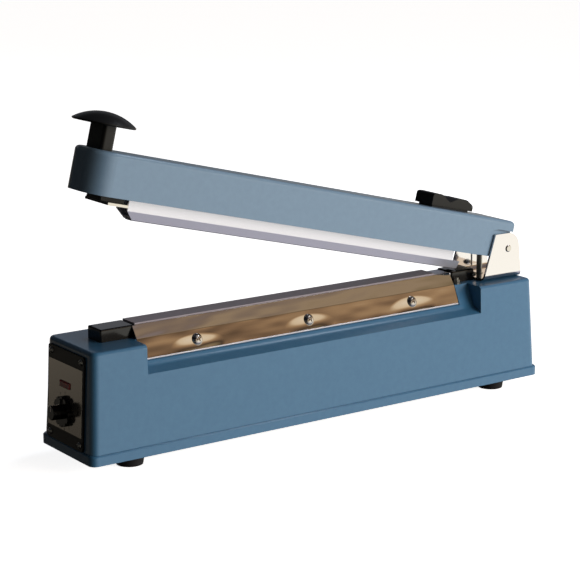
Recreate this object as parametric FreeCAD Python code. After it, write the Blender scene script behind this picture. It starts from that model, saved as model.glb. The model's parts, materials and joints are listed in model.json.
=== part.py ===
import FreeCAD, Part
import math
import os

os.makedirs("parts", exist_ok=True)
Vec = FreeCAD.Vector

# Impulse sealer with a film cutter, 300 mm seal.
# X runs along the machine with the control panel at -X and the hinge at +X, Z is up.
# The origin is on the floor, under the middle of the base.

# Overall lengths: the seal and what the base adds in front of it and behind it
seal_length = 300.0
front_allowance = 58.0
rear_allowance = 94.4

# Base housing
base_width = 82.0
base_height = 87.0
foot_height = 8.0
skirt_height = 8.0
skirt_proud = 1.4
skirt_chamfer = 1.0
end_draft = 4.3
side_draft = 3.8
corner_radius = 6.0
deck_fillet = 3.0
housing_wall = 4.0
bottom_plate_thickness = 1.5
slip = 0.3
seat = 0.05
near = 0.001

# Long recess on both sides of the sealing ridge
recess_front_margin = 5.0
recess_rear_margin = 29.6
recess_edge_drop = 23.0
recess_corner_radius = 8.0
shelf_rise = 0.4
pocket_clearance = 0.5
ridge_edge_ease = 0.8

# Sealing platform
platform_width = 17.5
platform_rise = 10.2
platform_tail = 18.0
tail_drop = 1.2
platform_foot_width = 24.0
platform_foot_height = 2.4
platform_screw_inset = 40.0
platform_screw_sink = 3.0
strip_width = 12.0
strip_thickness = 0.35
element_width = 2.6
element_thickness = 0.2
cloth_thickness = 0.25
cloth_skirt = 5.0

# Clamp plates that hold the cloth
plate_front_margin = 3.0
plate_rear_margin = 15.0
plate_thickness = 1.2
plate_bend_radius = 2.4
plate_corner_radius = 3.0
plate_edge_share = 0.85
plate_bend_y = 17.2
plate_bend_rise = 0.4
plate_bottom_y = 24.4
plate_bottom_drop = 15.0
plate_top_rise = 10.0
knife_gap = 0.5
clamp_screw_front_inset = 53.0
clamp_screw_rear_inset = 49.0
clamp_head_radius = 5.0
clamp_head_height = 2.8
clamp_shank = 9.0
clamp_screw_share = 0.48

# Common screws: shank, pan heads and countersunk or button heads
screw_radius = 1.75
screw_head_radius = 3.5
screw_head_height = 2.2

# End caps over the element terminals
front_cap_length = 30.5
rear_cap_length = 25.5
cap_width = 20.5
cap_height = 10.0
cap_wall = 1.8
cap_edge_radius = 1.4
terminal_half_length = 5.0
terminal_half_width = 6.0
terminal_height = 5.0
terminal_screw_radius = 3.0
terminal_screw_height = 2.4

# Hinge
pin_rise = 26.5
pin_radius = 3.0
pin_end_chamfer = 0.6
pin_overhang = 1.0
running_gap = 0.05
open_angle = 13.8
ear_outer_y = 23.0
ear_thickness = 2.0
bracket_bend_radius = 5.0
ear_front_low = 27.6
ear_front_high = 14.7
ear_top = 13.8
ear_rear_radius = 12.4
ear_rear_low = 15.8
bracket_screw_inset = 7.0
bracket_screw_length = 8.0
bracket_head_radius = 3.6
bracket_head_height = 2.4
cheek_gap = 0.6
cheek_wall = 3.6
cheek_radius = 8.6
spring_wire = 1.6
spring_radius = 6.6
spring_length = 19.2
spring_reach = 28.0
spring_leg_radius = 0.7

# Arm casting, measured from the pin: along the arm, across and above the pin
arm_half_width = 24.0
arm_top = 24.0
arm_bottom = -9.5
nose_setback = 3.5
arm_tail = -0.7
arm_nose_radius = 18.0
arm_fillet = 3.5
arm_wall = 3.0
ear_pocket_low = 34.0
ear_pocket_high = 27.6
ear_pocket_shoulder = 9.5
ear_pocket_top = 15.0
ear_pocket_ease = 1.6

# Floating press bar under the arm
bar_width = 17.0
bar_front_reach = 10.5
bar_rear_reach = 31.5
bar_rear_step = 8.5
bar_bevel_run = 6.8
bar_bottom = -25.4
bar_top = -7.5
bar_wall = 1.8
bar_floor = 2.4
bar_chamfer_width = 2.6
bar_chamfer_height = 6.6
pad_width = 9.0
pad_depth = 2.0
pad_proud = 0.6
pad_end_gap = 0.5
bar_pin_front_inset = 12.0
bar_pin_rear_inset = 24.0
bar_pin_radius = 2.0
bar_pin_head_radius = 3.6
bar_pin_head_height = 1.5
bar_pin_collar_height = 1.4
shelf_low = 5.0
shelf_thickness = 3.5
shelf_length = 14.0
shelf_far_y = 4.8
jaw_clearance = 0.1
bar_spring_outer = 3.6
bar_spring_inner = 2.6

# Contact plate and spacer under the nose
contact_setback = 20.5
contact_length = 18.0
contact_width = 35.0
contact_low = -16.0
contact_thickness = 2.2
contact_screw_y = 7.0
contact_screw_head = 3.15
spacer_width = 22.0
spacer_overhang = 3.0
spacer_top = -5.0
nose_rib_thickness = 4.0

# Handle
handle_setback = 14.5
stem_length = 11.4
stem_width = 24.0
stem_height = 18.8
stem_corner = 3.0
cap_disc_radius = 24.8
cap_rim = 1.4
cap_rim_chamfer = 0.8
cap_dome = 8.4
handle_bolt_radius = 3.0
handle_bolt_rise = 11.3
handle_bolt_room = 13.2
handle_boss_radius = 7.2
handle_boss_height = 5.0
handle_nut_radius = 5.7
handle_nut_height = 4.0

# Film cutter on top of the arm
cutter_at = 61.5
cutter_rest_margin = 14.0
cutter_press = 1.4
knob_length = 46.5
knob_width = 23.0
knob_low = 1.6
knob_height = 12.0
knob_dip = 3.4
knob_side = 2.0
knob_front_end = 0.26
knob_hollow = 0.56
knob_rear_end = 0.8
knob_rear_drop = 1.0
knob_crest_chamfer = 1.2
knob_pocket_gap = 0.6
slot_y = 11.0
slot_width = 4.0
slot_end_gap = 1.0
foot_plate_length = 41.0
foot_plate_width = 18.0
foot_plate_thickness = 1.4
slide_gap = 0.1
lug_length = 6.0
lug_spread = 30.0
retainer_width = 9.0
retainer_thickness = 2.0
cutter_stem_length = 20.0
cutter_stem_thickness = 2.4
cutter_spring_spread = 8.0
cutter_spring_outer = 2.6
cutter_spring_inner = 1.8
blade_thickness = 0.5
blade_tip = -16.5
blade_length = 14.0
blade_shoulder = 11.2
blade_seat_depth = 6.0

# Control panel on the front wall
panel_y = 2.4
panel_side_margin = 13.0
panel_height_margin = 13.0
panel_centre_rise = 1.5
panel_thickness = 1.5
panel_corner = 2.0
label_side_margin = 2.0
label_height_margin = 10.5
label_thickness = 0.3
window_margin = 3.0
panel_screw_side_inset = 4.9
panel_screw_height_inset = 4.5
panel_screw_head = 2.8
panel_screw_head_height = 1.6
dial_drop = 11.0
dial_radius = 12.0
dial_skirt = 3.0
dial_grip_radius = 5.8
dial_grip_height = 8.7
dial_grip_chamfer = 0.7
dial_pointer_width = 2.0
dial_pointer_reach = 10.0
dial_pointer_height = 1.2
dial_gap = 0.6
dial_notch_radius = 1.3
dial_notches = 12
dial_recess = 2.2
dial_bore_end = 5.0
shaft_radius = 3.0
bushing_radius = 4.5
bushing_proud = 1.6
pot_radius = 8.5
pot_depth = 11.0
pot_bore_depth = 8.0
lamp_rise = 10.0
lamp_width = 15.0
lamp_height = 5.0
lamp_proud = 1.5
lamp_edge = 0.7
lamp_seat_depth = 1.0
lamp_body_depth = 17.0
board_gap = 18.6
board_thickness = 1.6
board_side_margin = 9.0
board_half_height = 24.0
board_pin_half = 4.0
relay_length = 14.0
relay_width = 18.0
relay_low = -14.0
capacitor_length = 18.0
capacitor_radius = 6.0
capacitor_y = 12.0
capacitor_rise = 6.0

# Push rod that the arm presses onto the switch
plunger_reach = 13.0
plunger_radius = 2.5
plunger_tip_chamfer = 0.8
plunger_hole_gap = 1.0
plunger_collar_radius = 3.3
plunger_collar_thickness = 1.5
push_lug_spare = 1.0
push_lug_thickness = 3.5
switch_length = 20.0
switch_width = 7.0
switch_height = 12.0
switch_drop = 15.0
switch_bracket_thickness = 2.5

# Feet and lower fasteners
foot_radius = 12.0
foot_toe_radius = 10.6
foot_end_inset = 42.0
foot_side_inset = 16.0
foot_recess_radius = 3.9
foot_screw_grip = 4.0
boss_radius = 5.0
boss_end_inset = 20.0
boss_side_inset = 14.0
boss_height = 26.0
boss_screw_length = 12.0

# Cooling slots in the bottom plate
vent_inset = 17.0
vent_pitch = 18.0
vent_count = 5
vent_width = 4.0
vent_length = 16.0
vent_y = 12.0

# Transformer and terminal block on the bottom plate
transformer_inset = 103.0
core_length = 50.0
core_width = 42.0
core_height = 42.0
core_leg = 14.0
core_yoke = 7.0
coil_overhang = 9.0
block_inset = 33.0
block_length = 36.0
block_width = 20.0
block_height = 16.0
block_pitch = 12.0
block_holes = 3
block_hole_radius = 2.6
block_hole_depth = 5.0

# Cord inlet and fuse on the rear wall
inlet_radius = 4.0
inlet_nut_radius = 9.0
inlet_thread_radius = 7.0
inlet_proud = 11.0
inlet_inner_length = 6.0
inlet_rise = 22.0
inlet_y = 16.0
fitting_gap = 0.5
fuse_y = -12.0
fuse_radius = 7.0
fuse_thread_radius = 5.6
fuse_proud = 6.0
fuse_inner_length = 28.0
fuse_slot_half_length = 5.0
fuse_slot_half_width = 0.8
fuse_slot_depth = 1.5

# Earth terminal beside the rear end cap
terminal_inset = 21.0
washer_radius = 3.3
washer_thickness = 0.8
earth_nut_radius = 3.0
earth_nut_height = 2.6
earth_stud_proud = 5.4

# Places along the base
base_length = seal_length + front_allowance + rear_allowance
seal_front = front_allowance - base_length / 2
seal_rear = seal_front + seal_length
recess_front = seal_front - recess_front_margin
recess_rear = seal_rear + recess_rear_margin
plate_front = seal_front - plate_front_margin
plate_rear = seal_rear + plate_rear_margin
platform_rear = seal_rear + platform_tail
front_cap_front = seal_front - slip - front_cap_length
rear_cap_front = platform_rear + slip
bracket_front = rear_cap_front + rear_cap_length + slide_gap
pin_x = bracket_front + ear_front_low
bracket_rear = pin_x + ear_rear_low
terminal_x = seal_rear + terminal_inset
foot_x = base_length / 2 - foot_end_inset
foot_y = base_width / 2 - foot_side_inset
boss_x = base_length / 2 - boss_end_inset
boss_y = base_width / 2 - boss_side_inset

# Levels and half widths of the housing
deck = foot_height + base_height
pin_z = deck + pin_rise
top_half_length = base_length / 2 - skirt_proud - end_draft
top_half_width = base_width / 2 - skirt_proud - side_draft
foot_half_length = base_length / 2 - skirt_proud
foot_half_width = base_width / 2 - skirt_proud
strip_z = deck + platform_rise
element_z = strip_z + strip_thickness
cloth_z = element_z + element_thickness
platform_top = cloth_z + cloth_thickness

# Places along the arm, measured from the pin
arm_nose = pin_x + base_length / 2 - nose_setback
handle_at = arm_nose - handle_setback
contact_front = arm_nose - contact_setback
contact_rear = contact_front - contact_length
bar_front = pin_x - seal_front + bar_front_reach
bar_rear_low = pin_x - seal_rear - bar_rear_reach
bar_rear_top = bar_rear_low + bar_rear_step
bar_pin_front = bar_front - bar_pin_front_inset
bar_pin_rear = bar_rear_low + bar_pin_rear_inset
pad_bottom = bar_bottom - pad_proud
bar_travel = (platform_top - pin_z) - pad_bottom + jaw_clearance
cutter_travel = seal_length - cutter_rest_margin

# Control panel sizes
panel_width = base_width - 2 * panel_side_margin
panel_height = base_height - panel_height_margin
panel_z = foot_height + base_height / 2 + panel_centre_rise
label_width = panel_width - 2 * label_side_margin
label_height = panel_height - 2 * label_height_margin
panel_screw_y = panel_width / 2 - panel_screw_side_inset
panel_screw_v = panel_height / 2 - panel_screw_height_inset
wall_tilt = math.degrees(math.atan2(end_draft, base_height))


def box(x0, x1, y0, y1, z0, z1):
    return Part.makeBox(x1 - x0, y1 - y0, z1 - z0, Vec(x0, y0, z0))


def rod(start, direction, radius, length):
    return Part.makeCylinder(radius, length, start, direction)


def prism(points, run):
    wire = Part.makePolygon(points + [points[0]])
    return Part.Face(wire).extrude(run)


def join(shapes):
    whole = shapes[0]
    for shape in shapes[1:]:
        whole = whole.fuse(shape)
    return whole.removeSplitter()


def cut(shape, tools):
    for tool in tools:
        shape = shape.cut(tool)
    return shape


def both_sides(shape):
    return [shape, shape.mirror(Vec(0, 0, 0), Vec(0, 1, 0))]


def round_rectangle(half_x, half_y, radius, z):
    inner_x = half_x - radius
    inner_y = half_y - radius
    edges = []
    corners = [(1, 1, 0), (-1, 1, 90), (-1, -1, 180), (1, -1, 270)]
    ends = []
    for sx, sy, start in corners:
        centre = Vec(sx * inner_x, sy * inner_y, z)
        arc = Part.makeCircle(radius, centre, Vec(0, 0, 1), start, start + 90)
        ends.append((arc.valueAt(arc.FirstParameter), arc.valueAt(arc.LastParameter), arc))
    for index in range(4):
        first = ends[index]
        following = ends[(index + 1) % 4]
        edges.append(first[2])
        edges.append(Part.makeLine(first[1], following[0]))
    return Part.Wire(edges)


def drafted_box(low_x, low_y, high_x, high_y, z0, z1):
    front = [Vec(-low_x, -low_y, z0), Vec(low_x, -low_y, z0)]
    front += [Vec(high_x, -low_y, z1), Vec(-high_x, -low_y, z1)]
    side = [Vec(-low_x, -low_y, z0), Vec(-low_x, low_y, z0)]
    side += [Vec(-low_x, high_y, z1), Vec(-low_x, -high_y, z1)]
    return prism(front, Vec(0, 2 * low_y, 0)).common(prism(side, Vec(2 * low_x, 0, 0)))


def edges_at(shape, test):
    return [edge for edge in shape.Edges if all(test(v.Point) for v in edge.Vertexes)]


def uprights(shape):
    return [edge for edge in shape.Edges
            if abs(edge.Vertexes[0].Point.z - edge.Vertexes[-1].Point.z) > 1.0]


def runs_along_x(shape, z):
    edges = edges_at(shape, lambda p: abs(p.z - z) < near)
    return [edge for edge in edges
            if abs(edge.Vertexes[0].Point.y - edge.Vertexes[-1].Point.y) < near]


def turned_dome(points, dome):
    # The points run from the axis out to the rim, and an arc closes them over the top.
    rim = points[-1]
    ball = (rim.x ** 2 + dome ** 2) / (2 * dome)
    centre = rim.z + dome - ball
    angle = math.asin(rim.x / ball) / 2
    middle = Vec(ball * math.sin(angle), 0, centre + ball * math.cos(angle))
    top = Vec(0, 0, rim.z + dome)
    edges = [Part.makeLine(first, second) for first, second in zip(points, points[1:])]
    edges.append(Part.Arc(rim, middle, top).toShape())
    edges.append(Part.makeLine(top, points[0]))
    return Part.Face(Part.Wire(edges)).revolve(Vec(0, 0, 0), Vec(0, 0, 1), 360)


def side_at(z):
    share = (z - foot_height) / base_height
    return foot_half_width - side_draft * share


def end_at(z):
    share = (z - foot_height) / base_height
    return foot_half_length - end_draft * share


def save(shape, name):
    solids = shape.Solids
    if len(solids) == 1:
        shape = solids[0]
    shape.exportStep(os.path.join("parts", name + ".step"))
    print(name, len(solids), shape.isValid(), round(shape.Volume, 1))


# Frame of the arm: built as if closed, then swung open about the pin
def arm_box(u0, u1, y0, y1, w0, w1):
    return box(pin_x - u1, pin_x - u0, y0, y1, pin_z + w0, pin_z + w1)


def arm_point(u, y, w):
    return Vec(pin_x - u, y, pin_z + w)


def swing(shape):
    turned = shape.copy()
    turned.rotate(Vec(pin_x, 0, pin_z), Vec(0, 1, 0), open_angle)
    return turned


# Frame of the control panel: built upright, then leaned back with the front wall
def lean(shape):
    turned = shape.copy()
    turned.rotate(Vec(-end_at(panel_z), 0, panel_z), Vec(0, 1, 0), wall_tilt)
    return turned


def panel_box(depth0, depth1, y0, y1, v0, v1):
    face_x = -end_at(panel_z)
    return box(face_x - depth1, face_x - depth0, panel_y + y0, panel_y + y1,
               panel_z + v0, panel_z + v1)


def panel_rod(depth0, depth1, y, v, radius):
    start = Vec(-end_at(panel_z) - depth0, panel_y + y, panel_z + v)
    return rod(start, Vec(-1, 0, 0), radius, depth1 - depth0)


# Recess profiles, drawn for the +Y side and mirrored
shelf_outer_y = side_at(deck - recess_edge_drop)
side_lean = (plate_bottom_y - plate_bend_y) / (plate_bend_rise + plate_bottom_drop)
side_slant = math.hypot(1.0, side_lean)
ridge_top_y = plate_bend_y + side_lean * plate_bend_rise
ridge_half_width = ridge_top_y - plate_thickness * side_slant


def shelf_z(y):
    return deck - recess_edge_drop + shelf_rise * (shelf_outer_y - y)


def ridge_side_y(z):
    return ridge_half_width + side_lean * (deck - z)


def recess_cutter():
    outside = base_width
    over = deck + base_height
    rise = recess_edge_drop - shelf_rise * (shelf_outer_y - ridge_top_y)
    depth = rise / (1 - shelf_rise * side_lean)
    foot_y_place = ridge_top_y + side_lean * depth
    profile = [
        Vec(recess_front, outside, shelf_z(outside)),
        Vec(recess_front, foot_y_place, deck - depth),
        Vec(recess_front, ridge_top_y, deck),
        Vec(recess_front, ridge_top_y, over),
        Vec(recess_front, outside, over),
    ]
    tool = prism(profile, Vec(recess_rear - recess_front, 0, 0))
    corner = edges_at(tool, lambda p: abs(p.y - foot_y_place) < near)
    return tool.makeFillet(recess_corner_radius, corner)


def pocket_cutter():
    outside = base_width
    over = deck + base_height
    edge_drop = plate_thickness * side_lean / side_slant
    low = deck - plate_bottom_drop - edge_drop - pocket_clearance
    eased = deck - ridge_edge_ease
    front = plate_front - pocket_clearance
    profile = [
        Vec(front, outside, low),
        Vec(front, ridge_side_y(low), low),
        Vec(front, ridge_side_y(eased), eased),
        Vec(front, ridge_half_width - ridge_edge_ease, deck),
        Vec(front, ridge_half_width - ridge_edge_ease, over),
        Vec(front, outside, over),
    ]
    return prism(profile, Vec(plate_rear + pocket_clearance - front, 0, 0))


def clamp_screw_places():
    first = plate_front + clamp_screw_front_inset
    last = plate_rear - clamp_screw_rear_inset
    return [first, (first + last) / 2, last]


def clamp_screw_axis():
    length = math.hypot(side_lean, 1.0)
    return Vec(0, 1.0 / length, side_lean / length)


def clamp_screw_seat(x):
    y = plate_bend_y + (plate_bottom_y - plate_bend_y) * clamp_screw_share
    z = deck + plate_bend_rise - (plate_bend_rise + plate_bottom_drop) * clamp_screw_share
    return Vec(x, y, z)


bracket_screw_places = [
    bracket_front + bracket_screw_inset,
    bracket_rear - bracket_screw_inset,
]
plunger_x = pin_x - plunger_reach
push_lug_half = plunger_radius + push_lug_spare
terminal_y = -(cap_width / 2 + slip + washer_radius)


def build_housing():
    body = drafted_box(foot_half_length, foot_half_width, top_half_length, top_half_width,
                       foot_height, deck)
    body = body.makeFillet(corner_radius, uprights(body))
    rim = edges_at(body, lambda p: abs(p.z - deck) < near)
    body = body.makeFillet(deck_fillet, rim)
    skirt_wire = round_rectangle(base_length / 2, base_width / 2, corner_radius, foot_height)
    skirt = Part.Face(skirt_wire).extrude(Vec(0, 0, skirt_height))
    lip = edges_at(skirt, lambda p: abs(p.z - foot_height - skirt_height) < near)
    skirt = skirt.makeChamfer(skirt_chamfer, lip)
    body = body.fuse(skirt)
    body = cut(body, both_sides(recess_cutter()) + both_sides(pocket_cutter()))
    ceiling = deck - recess_edge_drop - housing_wall
    inner = drafted_box(
        foot_half_length - housing_wall, foot_half_width - housing_wall,
        end_at(ceiling) - housing_wall, side_at(ceiling) - housing_wall,
        foot_height, ceiling)
    end_rooms = drafted_box(
        foot_half_length - housing_wall, foot_half_width - housing_wall,
        top_half_length - housing_wall, top_half_width - housing_wall,
        foot_height, deck - housing_wall)
    middle = box(recess_front - housing_wall, recess_rear + housing_wall, -base_width,
                 base_width, 0, deck)
    core_half = ridge_half_width - housing_wall
    core = box(recess_front - housing_wall - seat, recess_rear + housing_wall + seat,
               -core_half, core_half, ceiling - seat, deck - housing_wall)
    body = cut(body, [inner, end_rooms.cut(middle), core])
    body = join([body] + housing_bosses())
    half_window_y = label_width / 2 - window_margin
    half_window_v = label_height / 2 - window_margin
    window = panel_box(-3 * housing_wall, 3 * housing_wall, -half_window_y, half_window_y,
                       -half_window_v, half_window_v)
    body = cut(body, [lean(window), lean(panel_screw_holes())])
    return cut(body, housing_bores())


def housing_bosses():
    bosses = []
    plate_top = foot_height + bottom_plate_thickness
    trim = drafted_box(
        foot_half_length - housing_wall / 2, foot_half_width - housing_wall / 2,
        top_half_length - housing_wall / 2, top_half_width - housing_wall / 2,
        foot_height, deck)
    half = housing_wall / 2
    for sx in (-1, 1):
        x = sx * boss_x
        post = rod(Vec(x, boss_y, plate_top), Vec(0, 0, 1), boss_radius, boss_height)
        web = box(x - half, x + half, boss_y, base_width, plate_top, plate_top + boss_height)
        bosses += both_sides(post)
        bosses += both_sides(web.common(trim))
    return bosses


def housing_bores():
    tools = []
    for x in clamp_screw_places():
        point = clamp_screw_seat(x)
        axis = clamp_screw_axis()
        shank = rod(point - axis * clamp_shank, axis, screw_radius, clamp_shank * 2)
        tools += both_sides(shank)
    for x in bracket_screw_places:
        tools.append(rod(Vec(x, 0, deck - bracket_screw_length), Vec(0, 0, 1),
                         screw_radius, bracket_screw_length * 2))
    tools.append(rod(Vec(plunger_x, 0, deck - 3 * housing_wall), Vec(0, 0, 1),
                     plunger_radius + running_gap, 6 * housing_wall))
    tools.append(rod(Vec(terminal_x, terminal_y, deck - bracket_screw_length), Vec(0, 0, 1),
                     screw_radius, bracket_screw_length * 2))
    tools += [rear_bore(inlet_y, inlet_thread_radius), rear_bore(fuse_y, fuse_thread_radius)]
    for sx in (-1, 1):
        for sy in (-1, 1):
            tools.append(rod(Vec(sx * boss_x, sy * boss_y, 0), Vec(0, 0, 1),
                             screw_radius,
                             foot_height + bottom_plate_thickness + boss_screw_length))
    for x in platform_screw_places():
        tools.append(rod(Vec(x, 0, deck - bracket_screw_length), Vec(0, 0, 1),
                         screw_radius, bracket_screw_length * 2))
    return tools


def platform_screw_places():
    first = seal_front + platform_screw_inset
    last = seal_rear - platform_screw_inset
    return [first, (first + last) / 2, last]


def rear_bore(y, radius):
    z = foot_height + inlet_rise
    return rod(Vec(end_at(z) - 3 * housing_wall, y, z), Vec(1, 0, 0), radius, 6 * housing_wall)


def panel_screw_holes():
    holes = []
    for sy in (-1, 1):
        for sv in (-1, 1):
            holes.append(panel_rod(-housing_wall - slip, panel_thickness, sy * panel_screw_y,
                                   sv * panel_screw_v, screw_radius))
    return Part.makeCompound(holes)


def build_bottom():
    half_x = foot_half_length - housing_wall - slip
    half_y = foot_half_width - housing_wall - slip
    outline = round_rectangle(half_x, half_y, corner_radius - housing_wall / 2, foot_height)
    plate = Part.Face(outline).extrude(Vec(0, 0, bottom_plate_thickness))
    up = Vec(0, 0, 1)
    screws = []
    feet = []
    foot_screws = []
    for sx in (-1, 1):
        for sy in (-1, 1):
            under = Vec(sx * boss_x, sy * boss_y, foot_height)
            plate = plate.cut(rod(under, up, screw_radius, deck))
            shank = rod(under, up, screw_radius,
                        bottom_plate_thickness + boss_screw_length - slip)
            head = rod(under, -up, screw_head_radius, screw_head_height)
            screws.append(head.fuse(shank).removeSplitter())
            centre = Vec(sx * foot_x, sy * foot_y, 0)
            foot = Part.makeCone(foot_toe_radius, foot_radius, foot_height, centre, up)
            recess = rod(centre, up, foot_recess_radius, foot_height / 2)
            bore = rod(centre, up, screw_radius, deck)
            feet.append(cut(foot, [recess, bore]))
            plate = plate.cut(bore)
            ledge = centre + up * (foot_height / 2)
            head = rod(ledge, -up, screw_head_radius, screw_head_height)
            shank = rod(ledge, up, screw_radius,
                        foot_height / 2 + bottom_plate_thickness + foot_screw_grip)
            foot_screws.append(head.fuse(shank).removeSplitter())
    for step in range(vent_count):
        x = seal_front + vent_inset + vent_pitch * step
        vent = box(x, x + vent_width, vent_y - vent_length / 2, vent_y + vent_length / 2, 0, deck)
        plate = cut(plate, both_sides(vent))
    save(plate, "bottom_plate")
    save(Part.makeCompound(screws), "bottom_plate_screws")
    save(Part.makeCompound(feet), "rubber_feet")
    save(Part.makeCompound(foot_screws), "foot_screws")


# Platform, insulating strip, element and cloth
def build_platform():
    half = platform_width / 2
    foot_half = platform_foot_width / 2
    bar = box(seal_front, platform_rear, -half, half, deck, strip_z - tail_drop)
    head = box(seal_front, seal_rear, -half, half, deck, strip_z)
    foot = box(seal_front, platform_rear, -foot_half, foot_half, deck,
               deck + platform_foot_height)
    bar = join([bar, head, foot])
    head_low = strip_z - platform_screw_sink
    screws = []
    for x in platform_screw_places():
        bar = bar.cut(rod(Vec(x, 0, deck), Vec(0, 0, 1), screw_radius, strip_z))
        bar = bar.cut(rod(Vec(x, 0, head_low), Vec(0, 0, 1), screw_head_radius, strip_z))
        foot_z = deck - bracket_screw_length + slip
        shank = rod(Vec(x, 0, foot_z), Vec(0, 0, 1), screw_radius, head_low - foot_z)
        head = rod(Vec(x, 0, head_low), Vec(0, 0, 1), screw_head_radius - seat,
                   screw_head_height)
        screws.append(head.fuse(shank).removeSplitter())
    save(bar, "seal_platform")
    save(Part.makeCompound(screws), "platform_screws")
    save(box(seal_front, seal_rear, -strip_width / 2, strip_width / 2, strip_z, element_z),
         "insulating_strip")
    save(box(seal_front, seal_rear, -element_width / 2, element_width / 2, element_z, cloth_z),
         "heating_element")
    outer_half = half + cloth_thickness
    cloth = box(seal_front, seal_rear, -outer_half, outer_half, cloth_z - cloth_skirt,
                platform_top)
    save(cloth.cut(box(seal_front, seal_rear, -half, half, 0, cloth_z)), "ptfe_cloth")


def sheet(points, thickness, x0, x1, bend):
    # The points are the outer face in order, and the metal lies on its inner side.
    inner = []
    for index, point in enumerate(points):
        before = points[max(index - 1, 0)]
        after = points[min(index + 1, len(points) - 1)]
        first = Vec(0, point[0] - before[0], point[1] - before[1])
        second = Vec(0, after[0] - point[0], after[1] - point[1])
        if index == 0:
            first = second
        if index == len(points) - 1:
            second = first
        first.normalize()
        second.normalize()
        n1 = Vec(0, first.z, -first.y)
        n2 = Vec(0, second.z, -second.y)
        middle = n1 + n2
        reach = thickness * 2 / middle.dot(middle)
        inner.append((point[0] + middle.y * reach, point[1] + middle.z * reach))
    outline = [Vec(x0, y, z) for y, z in points]
    outline += [Vec(x0, y, z) for y, z in reversed(inner)]
    shape = prism(outline, Vec(x1 - x0, 0, 0))
    for spot, radius in ((points[1], bend), (inner[1], bend - thickness)):
        line = edges_at(shape, lambda p: abs(p.y - spot[0]) < 10 * near and abs(p.z - spot[1]) < 10 * near)
        shape = shape.makeFillet(radius, line)
    return shape


def build_clamp_plate(side, name):
    edge_reach = plate_thickness * plate_edge_share
    top_y = platform_width / 2 + cloth_thickness + slip + edge_reach
    slope = (plate_top_rise - plate_bend_rise) / (plate_bend_y - top_y)
    if side > 0:
        top_y = slot_y + blade_thickness / 2 + knife_gap + edge_reach
    points = [
        (top_y, deck + plate_bend_rise + slope * (plate_bend_y - top_y)),
        (plate_bend_y, deck + plate_bend_rise),
        (plate_bottom_y, deck - plate_bottom_drop),
    ]
    plate = sheet(points, plate_thickness, plate_front, plate_rear, plate_bend_radius)
    corners = []
    for edge in plate.Edges:
        ends = [v.Point for v in edge.Vertexes]
        if len(ends) == 2 and abs(edge.Length - plate_thickness) < 20 * near:
            if max(p.z for p in ends) < deck - plate_bottom_drop + plate_thickness:
                corners.append(edge)
    plate = plate.makeFillet(plate_corner_radius, corners)
    for x in clamp_screw_places():
        point = clamp_screw_seat(x)
        axis = clamp_screw_axis()
        plate = plate.cut(rod(point - axis * clamp_shank, axis, screw_radius, clamp_shank * 2))
    half = cap_width / 2 + slip
    plate = plate.cut(box(-base_length, seal_front, -half, half, deck, pin_z))
    if side < 0:
        plate = plate.mirror(Vec(0, 0, 0), Vec(0, 1, 0))
    save(plate, name)


def dome_screw(point, axis, head_radius, head_height, shank_radius, shank_length):
    outline = [
        Vec(0, 0, -shank_length),
        Vec(shank_radius, 0, -shank_length),
        Vec(shank_radius, 0, 0),
        Vec(head_radius, 0, 0),
    ]
    screw = turned_dome(outline, head_height)
    screw.Placement = FreeCAD.Placement(point, FreeCAD.Rotation(Vec(0, 0, 1), axis))
    return screw


def build_clamp_screws():
    screws = []
    for x in clamp_screw_places():
        screw = dome_screw(clamp_screw_seat(x), clamp_screw_axis(), clamp_head_radius,
                           clamp_head_height, screw_radius, clamp_shank)
        screws += both_sides(screw)
    save(Part.makeCompound(screws), "clamp_screws")


# End caps and what they cover
def end_cap(front, length, open_rear):
    half = cap_width / 2
    top = deck + cap_height
    shell = box(front, front + length, -half, half, deck, top)
    top_edges = edges_at(shell, lambda p: abs(p.z - top) < near)
    shell = shell.makeFillet(cap_edge_radius, uprights(shell) + top_edges)
    inner_front = front - cap_wall
    inner_rear = front + length - cap_wall
    if open_rear:
        inner_front = front + cap_wall
        inner_rear = front + length + cap_wall
    room = box(inner_front, inner_rear, -half + cap_wall, half - cap_wall, 0, top - cap_wall)
    return shell.cut(room)


def build_end_caps():
    save(end_cap(front_cap_front, front_cap_length, True), "front_end_cap")
    save(end_cap(rear_cap_front, rear_cap_length, False), "rear_end_cap")
    blocks = []
    centres = [front_cap_front + front_cap_length / 2, rear_cap_front + rear_cap_length / 2]
    for x in centres:
        block = box(x - terminal_half_length, x + terminal_half_length, -terminal_half_width,
                    terminal_half_width, deck, deck + terminal_height)
        head = rod(Vec(x, 0, deck + terminal_height), Vec(0, 0, 1), terminal_screw_radius,
                   terminal_screw_height)
        blocks.append(block.fuse(head).removeSplitter())
    save(Part.makeCompound(blocks), "element_terminals")
    washer = rod(Vec(terminal_x, terminal_y, deck), Vec(0, 0, 1), washer_radius,
                 washer_thickness)
    hexagon = hex_prism(Vec(terminal_x, terminal_y, deck + washer_thickness),
                        earth_nut_radius, earth_nut_height)
    stud = rod(Vec(terminal_x, terminal_y, deck - bracket_screw_length + slip), Vec(0, 0, 1),
               screw_radius, bracket_screw_length + earth_stud_proud - slip)
    save(join([washer, hexagon, stud]), "earth_terminal")


def hex_prism(centre, radius, height):
    points = []
    for step in range(6):
        angle = math.radians(60 * step)
        points.append(centre + Vec(radius * math.cos(angle), radius * math.sin(angle), 0))
    return prism(points, Vec(0, 0, height))


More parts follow.
